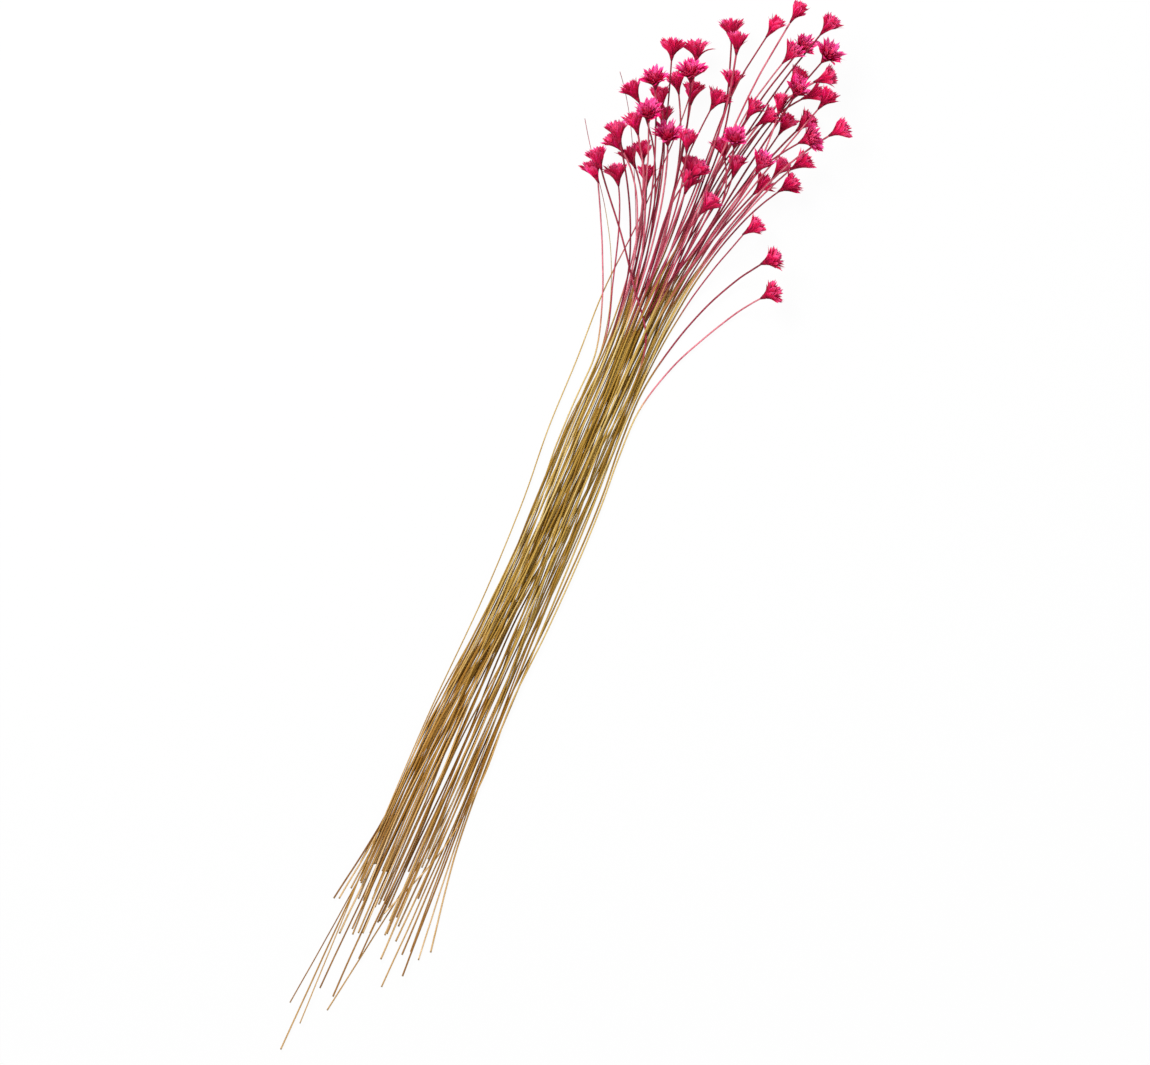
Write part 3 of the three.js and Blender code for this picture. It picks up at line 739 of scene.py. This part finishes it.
# %% The blade's cup, thickness and curl
CUP_START = 1.2
BLADE_THICKNESS = 0.07
STRAY_THICKER = 4
THICK_FOOT_THIN_TIP = (1.6, 0.6)
CURL_POWER = 4
SUNK_PART = 0.22
SUNK_DEPTH = 0.3

edge = across * half_width
cup = edge * edge / (out * 2 + CUP_START)
roll = edge * along * stored(head_tree, "own roll") * size["Untidiness"]
thick = back * (stray * STRAY_THICKER + 1) * BLADE_THICKNESS
thick = thick * along.between(*THICK_FOOT_THIN_TIP)
offset = thick - cup + roll
curl = along**CURL_POWER * rank.from_one() * stored(head_tree, "own curl") * size["Curl"]
sunk = along.step(0.0, SUNK_PART).from_one() * SUNK_DEPTH
out = out + offset * lean.math("COSINE") + curl - sunk
up = up - offset * lean.math("SINE")

# %% [markdown]
# So far all bracts lie in one plane. Each point now takes its place out, to the side and
# up, and turns about the head's axis by its bract's own turn in the spiral.

# %% Bracts into place on the head
flat = add_node(head_tree, "ShaderNodeCombineXYZ", {"X": out, "Y": side, "Z": up}).outputs[0]
inputs = {"Vector": flat, "Angle": stored(head_tree, "turn")}
turned = add_node(head_tree, "ShaderNodeVectorRotate", inputs, rotation_type="Z_AXIS")
inputs = {"Geometry": mesh, "Position": turned.outputs[0]}
mesh = add_node(head_tree, "GeometryNodeSetPosition", inputs).outputs[0]

# %% [markdown]
# Under the bracts the stem widens into the receptacle that carries them. It is a closed
# drum with the same bend as the outer bracts, just inside them for half their length, and
# a rounded top. First comes its outline: how wide it is at each share of its height.

# %% The receptacle's outline
DRUM_SIDES = 12
DRUM_SEGMENTS = 9
DRUM_START = -1.0
DRUM_REACH = 0.5
DOME_POWER = 6
DRUM_WIDTHS = (1, 0.75)
DRUM_TOP = 0.02

inputs = {"Vertices": DRUM_SIDES, "Side Segments": DRUM_SEGMENTS}
inputs |= {"Radius": 1.0, "Depth": 1.0}
drum = add_node(head_tree, "GeometryNodeMeshCylinder", inputs).outputs[0]
drum_place = add_node(head_tree, "GeometryNodeInputPosition").outputs[0]
spot = add_node(head_tree, "ShaderNodeSeparateXYZ", {0: drum_place}).outputs
share = Number(spot["Z"]) + 0.5
lean_at_foot = size["Foot lean"] * size["Opening"]
lean_at_rim = size["Rim lean"] * size["Opening"]
drum_out, drum_up, _ = bend(
    size["Neck"], DRUM_START, size["Outer length"], lean_at_foot, lean_at_rim,
    share * DRUM_REACH,
)
dome = (share**DOME_POWER).from_one().math("MAXIMUM", DRUM_TOP)
drum_out = drum_out * dome * share.between(*DRUM_WIDTHS)

# %% [markdown]
# The points of the drum move out to that outline. Its finish is that of the bracts and
# reads the same attributes, so the drum has them too, with the values of a bract's foot. So
# it is as dark as a foot, dye and painted shade together.

# %% The receptacle
# A low share along gives the drum the dark of a bract's foot, painted shade included.
DRUM_ALONG = 0.2
DRUM_LOOKS = {"back": 1.0, "tone": 0.3, "rank": 0.0}

inputs = {"X": Number(spot["X"]) * drum_out, "Y": Number(spot["Y"]) * drum_out, "Z": drum_up}
drum_shape = add_node(head_tree, "ShaderNodeCombineXYZ", inputs).outputs[0]
inputs = {"Geometry": drum, "Position": drum_shape}
drum = add_node(head_tree, "GeometryNodeSetPosition", inputs).outputs[0]
drum = store(head_tree, drum, "along", share * DRUM_ALONG)
for name, value in DRUM_LOOKS.items():
    drum = store(head_tree, drum, name, value)

# %% [markdown]
# One Transform makes the head metres from millimetres, and the next turns it the way it
# faces and sets it on the end of its stem. A low head touches the surface that the bunch
# lies on, where its lowest bracts bend flat: a soft maximum keeps them just above it.

# %% The head on its stem
FLOOR_GAP = 0.2 * MM
FLOOR_SOFTNESS = 0.6 * MM

both = add_node(head_tree, "GeometryNodeJoinGeometry", {0: mesh})
head_tree.links.new(drum, both.inputs[0])
inputs = {"Geometry": both.outputs[0], "Scale": (MM, MM, MM)}
scaled = add_node(head_tree, "GeometryNodeTransform", inputs).outputs[0]
inputs = {"Geometry": scaled, "Translation": size["Foot"], "Rotation": size["Facing"]}
placed = add_node(head_tree, "GeometryNodeTransform", inputs).outputs[0]
final_place = add_node(head_tree, "GeometryNodeInputPosition").outputs[0]
spot = add_node(head_tree, "ShaderNodeSeparateXYZ", {0: final_place}).outputs
height = Number(spot["Z"]).math("SMOOTH_MAX", FLOOR_GAP, FLOOR_SOFTNESS)
inputs = {"X": spot["X"], "Y": spot["Y"], "Z": height}
above = add_node(head_tree, "ShaderNodeCombineXYZ", inputs).outputs[0]
inputs = {"Geometry": placed, "Position": above}
placed = add_node(head_tree, "GeometryNodeSetPosition", inputs).outputs[0]
finish_tree(head_tree, placed, bract)
print("head tree:", len(head_tree.nodes), "nodes")

# %% [markdown]
# The stem's own tree comes before this one on the piece, so its mesh has to pass through.
# It joins the finished head at the very end, with the finish that it already has.

# %% Stem and head together
out = next(n for n in head_tree.nodes if n.bl_idname == "NodeGroupOutput")
head_mesh = out.inputs[0].links[0].from_socket
whole = add_node(head_tree, "GeometryNodeJoinGeometry", {0: stem_mesh})
head_tree.links.new(head_mesh, whole.inputs[0])
head_tree.links.new(whole.outputs[0], out.inputs[0])

# %% [markdown]
# ## Where each strand runs
# The stems could be placed again from the photograph, but then the two models would drift
# apart. So each centre line is read from its solid, which is a row of rings. They are found
# one by one from the cut end, where the first four points are, on a copy whose loose
# triangles are merged first.

# %% The rings of a strand
RING_POINTS = 4
SAME_PLACE = 0.001 * MM


def rings_of(node):
    """The points of a node ring by ring, from its cut end, as lists of places."""
    copy = bmesh.new()
    copy.from_mesh(node.data)
    bmesh.ops.remove_doubles(copy, verts=copy.verts, dist=SAME_PLACE)
    ring = sorted(copy.verts, key=lambda vertex: vertex.co.y)[:RING_POINTS]
    seen, rings = set(ring), []
    while ring:
        rings.append([vertex.co.copy() for vertex in ring])
        near = {e.other_vert(v) for v in ring for e in v.link_edges} - seen
        ring = sorted(near, key=lambda vertex: vertex.index)
        seen |= near
    copy.free()
    return rings


# %% [markdown]
# The first 14 rings are the stem's squares, and their middles make its centre line. The
# middle of the next one, in the head or at a bare stem's tip, gives the axis. The head's
# half width is the mean distance of its ten outermost points from that axis.

# %% Read the strands
STEM_RINGS = 14
OUTERMOST_POINTS = 10


def middle_of(ring):
    return sum(ring, Vector()) / len(ring)


def read_strand(node):
    """A strand's centre line, the axis of its end, and its head's half width in metres."""
    rings = rings_of(node)
    corners = [middle_of(ring) for ring in rings[:STEM_RINGS]]
    foot = corners[-1]
    axis = (middle_of(rings[STEM_RINGS]) - foot).normalized()
    head = [place - foot for ring in rings[STEM_RINGS:] for place in ring]
    reach = sorted((p.cross(axis).length for p in head), reverse=True)[:OUTERMOST_POINTS]
    return {"corners": corners, "foot": foot, "axis": axis, "half": sum(reach) / len(reach)}


def is_flower(name):
    return name.startswith("flower")


strands = {name: read_strand(node) for name, node in sorted(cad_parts.items())}
halves = [strand["half"] / MM for name, strand in strands.items() if is_flower(name)]
print(f"heads {2 * min(halves):.1f} to {2 * max(halves):.1f} mm wide")

# %% [markdown]
# ## Growing the flowers
# A piece starts as the bare centre line. The two trees turn it into a stem and a head.
# Live modifiers would have to be worked out again by whoever uses the piece, so
# new_from_object keeps their result as a plain mesh.

# %% From a line to a plain mesh


def line_piece(name, corners):
    mesh = bpy.data.meshes.new(name)
    edges = [(i, i + 1) for i in range(len(corners) - 1)]
    mesh.from_pydata(corners, edges, [])
    piece = bpy.data.objects.new(name, mesh)
    bpy.context.scene.collection.objects.link(piece)
    return piece


def keep_result(piece):
    """The evaluated mesh takes the place of the line and its modifiers."""
    graph = bpy.context.evaluated_depsgraph_get()
    mesh = bpy.data.meshes.new_from_object(piece.evaluated_get(graph))
    mesh.name = piece.name
    piece.modifiers.clear()
    piece.data = mesh


# %% [markdown]
# Where a stem passes the neck of the bunch, counted from left to right, says two things.
# Stems at the two sides are seen alone and run straight, and those in between press on each
# other and wander. And the dye came further down on the left than on the right.

# %% The place of each stem across the neck
NECK_Y = 105 * MM


def x_at(corners, y):
    """How far to the right a centre line is where it passes this y."""
    for low, high in zip(corners, corners[1:]):
        if low.y <= y <= high.y:
            return low.lerp(high, (y - low.y) / (high.y - low.y)).x
    return corners[-1].x


places = sorted(x_at(strand["corners"], NECK_Y) for strand in strands.values())
print(f"the neck is {(places[-1] - places[0]) / MM:.0f} mm wide")


def share_across(corners):
    """0 for the leftmost stem of the neck, 1 for the rightmost."""
    return places.index(x_at(corners, NECK_Y)) / (len(places) - 1)


def share_aside(across):
    """0 in the middle of the neck, 1 at either side."""
    return abs(2 * across - 1)


# %% [markdown]
# The line where the dye starts rises with the square root of the stem's place across the
# neck. It differs by another amount on each stem, and less at the two sides. Six stems that
# the photograph shows clearly have a line of their own. All that is drawn at random from
# here on comes from one generator with a fixed seed, so each run grows the same bunch.

# %% Where the dye starts
SEED = 58
DYE_AT_THE_LEFT = 96 * MM
DYE_AT_THE_RIGHT = 150 * MM
DYE_SPREAD = 30 * MM
CALM_AT_THE_SIDES = 0.6
OWN_DYE_LINES = {
    "flower_11": 134 * MM,
    "flower_39": 94 * MM,
    "flower_56": 125 * MM,
    "flower_57": 97 * MM,
    "flower_58": 78 * MM,
    "bare_stem_1": 160 * MM,
}
draw = random.Random(SEED)


def dye_line(name, across):
    straight = DYE_AT_THE_LEFT + (DYE_AT_THE_RIGHT - DYE_AT_THE_LEFT) * math.sqrt(across)
    spread = DYE_SPREAD * (1 - CALM_AT_THE_SIDES * share_aside(across))
    drawn = straight + draw.uniform(-1, 1) * spread
    return OWN_DYE_LINES.get(name, drawn)


# %% [markdown]
# A stem's thickness, tone, ribs and dye are drawn between limits. Three stems that stand
# apart in the photograph are thinner there, so they have a thickness of their own.

# %% One stem
THICKNESSES = (0.78, 0.96)
OWN_THICKNESSES = {"flower_11": 0.64 * MM, "flower_44": 0.62 * MM, "flower_56": 0.74 * MM}
TOP_SHARES = (1.0, 1.14)
BARE_TOP_SHARE = 0.4
WANDER = 1.0 * MM
WANDER_POWER = 1.5
RIB_TURNS = (1.0, 4.0)
DYE_FADES = (6 * MM, 20 * MM)


def grow_stem(piece, name, corners):
    """Adds the stem's tree. Returns the stem's tone and its thickness at the top."""
    across = share_across(corners)
    tone = draw.random()
    line = dye_line(name, across)
    thickness = OWN_THICKNESSES.get(name, draw.uniform(*THICKNESSES) * MM)
    top = thickness * (draw.uniform(*TOP_SHARES) if is_flower(name) else BARE_TOP_SHARE)
    add_modifier(
        piece, stem_tree, thickness=thickness, top_thickness=top,
        wander=(1 - share_aside(across) ** WANDER_POWER) * WANDER,
        turns=draw.uniform(*RIB_TURNS), dye_line=line,
        dye_fade=draw.uniform(*DYE_FADES), tone=tone,
    )
    return tone, top


# %% [markdown]
# How far a head opens follows from the width of its solid, and its other sizes are drawn
# between limits. Lengths and widths are in millimetres here. Four heads that the photograph
# shows wide open have an opening and an outer length of their own.

# %% Limits for the heads
CLOSED_HALF = 0.7
HALF_PER_OPENING = 5.6
OUTER_LENGTHS = (9.9, 11.3)
OUTER_WIDTHS = (2.6, 3.4)
BRACT_COUNTS = (78, 104)
UNTIDINESS = (0.9, 1.4)
HEAD_SEEDS = 10000
WIDE_OPEN = {
    "flower_08": (1.3, 11.3),
    "flower_36": (1.3, 11.2),
    "flower_57": (1.22, 8.9),
    "flower_58": (1.2, 8.7),
}

# %% [markdown]
# One head in the photograph has a bract that stands out to the right, well past the others.
# Its direction in the picture is turned into the head's own frame, where the outermost
# bract then starts the spiral.

# %% One head
STRAY_FLOWER = "flower_11"
RIGHT_IN_THE_PHOTO = Vector((math.cos(PHOTO_LEAN), math.sin(PHOTO_LEAN), 0))


def grow_head(piece, name, strand, tone, neck):
    """Adds the head's tree, for a stem with this tone and this radius at its top."""
    opening = (strand["half"] / MM - CLOSED_HALF) / HALF_PER_OPENING
    outer_length = draw.uniform(*OUTER_LENGTHS)
    opening, outer_length = WIDE_OPEN.get(name, (opening, outer_length))
    facing = strand["axis"].to_track_quat("Z", "Y")
    turned = draw.uniform(0, math.tau)
    if name == STRAY_FLOWER:
        aim = facing.inverted() @ RIGHT_IN_THE_PHOTO
        turned = math.atan2(aim.y, aim.x)
    add_modifier(
        piece, head_tree, opening=opening, neck=neck, tone=tone,
        bracts=draw.randrange(*BRACT_COUNTS), outer_width=draw.uniform(*OUTER_WIDTHS),
        outer_length=outer_length, untidiness=draw.uniform(*UNTIDINESS),
        seed=draw.randrange(HEAD_SEEDS), turned=turned, stray=float(name == STRAY_FLOWER),
        foot=tuple(strand["foot"]), facing=tuple(facing.to_euler()),
    )


# %% [markdown]
# Each finished piece rides on the one body of the model, and takes the place of its solid
# there.

# %% Grow them all
triangles = 0
for name, strand in strands.items():
    piece = line_piece("dried_" + name, strand["corners"])
    tone, top = grow_stem(piece, name, strand["corners"])
    if is_flower(name):
        grow_head(piece, name, strand, tone, top / MM / 2)
    keep_result(piece)
    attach(piece, "root")
    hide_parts(name)
    triangles += sum(len(face.vertices) - 2 for face in piece.data.polygons)
print("pieces:", len(strands), "triangles:", triangles)

# %% [markdown]
# ## The studio
# The photograph is lit so softly that it has almost no shadows, on white. A floor that
# only lamps light would come out grey, with shadows. So this one glows a soft white of its
# own, which hides nearly all of them. An even pale sky and two big soft lamps from above
# light the bunch.

# %% The floor
FLOOR_HALF = 20.0
FLOOR_COLOUR = (0.03, 0.03, 0.03, 1)
FLOOR_ROUGHNESS = 0.9
FLOOR_GLOW = 0.95
WHITE = (1, 1, 1, 1)


def square(name, half):
    mesh = bpy.data.meshes.new(name)
    corners = [(-half, -half, 0), (half, -half, 0), (half, half, 0), (-half, half, 0)]
    mesh.from_pydata(corners, [], [(0, 1, 2, 3)])
    piece = bpy.data.objects.new(name, mesh)
    bpy.context.scene.collection.objects.link(piece)
    return piece


floor = square("floor", FLOOR_HALF)
floor_paint, _, floor_shader = new_material("pale floor")
floor_shader.inputs["Base Color"].default_value = FLOOR_COLOUR
floor_shader.inputs["Specular IOR Level"].default_value = 0.0
floor_shader.inputs["Roughness"].default_value = FLOOR_ROUGHNESS
floor_shader.inputs["Emission Color"].default_value = WHITE
floor_shader.inputs["Emission Strength"].default_value = FLOOR_GLOW
floor.data.materials.append(floor_paint)
floor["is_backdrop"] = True
print("floor:", 2 * FLOOR_HALF, "m wide")

# %% [markdown]
# Each lamp is a square panel that points at the origin. Its place and width are in metres
# and its power in watts.

# %% Sky and lamps
SKY_STRENGTH = 0.55
LAMPS = (
    ("key lamp", (-0.8, 0.6, 1.3), 0.8, 34),
    ("fill lamp", (0.9, -0.3, 1.4), 1.6, 8),
)

world = bpy.data.worlds.new("pale sky")
world.use_nodes = True
world.node_tree.nodes["Background"].inputs["Color"].default_value = WHITE
world.node_tree.nodes["Background"].inputs["Strength"].default_value = SKY_STRENGTH
bpy.context.scene.world = world
bpy.context.scene.view_settings.view_transform = "Standard"

for name, place, width, watts in LAMPS:
    lamp_data = bpy.data.lights.new(name, "AREA")
    lamp_data.size = width
    lamp_data.energy = watts
    lamp = bpy.data.objects.new(name, lamp_data)
    lamp.location = place
    lamp.rotation_euler = (-Vector(place)).to_track_quat("-Z", "Y").to_euler()
    bpy.context.scene.collection.objects.link(lamp)
print("lamps:", len(LAMPS))

# %% [markdown]
# Both boxes are printed: that of the imported model and that of the finished pieces.

# %% Sizes, and the end
shown_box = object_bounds()
for label, (low, high) in (("packed", cad_box), ("finished", shown_box)):
    print(label, "box in mm:", [round(side / MM, 1) for side in high - low])
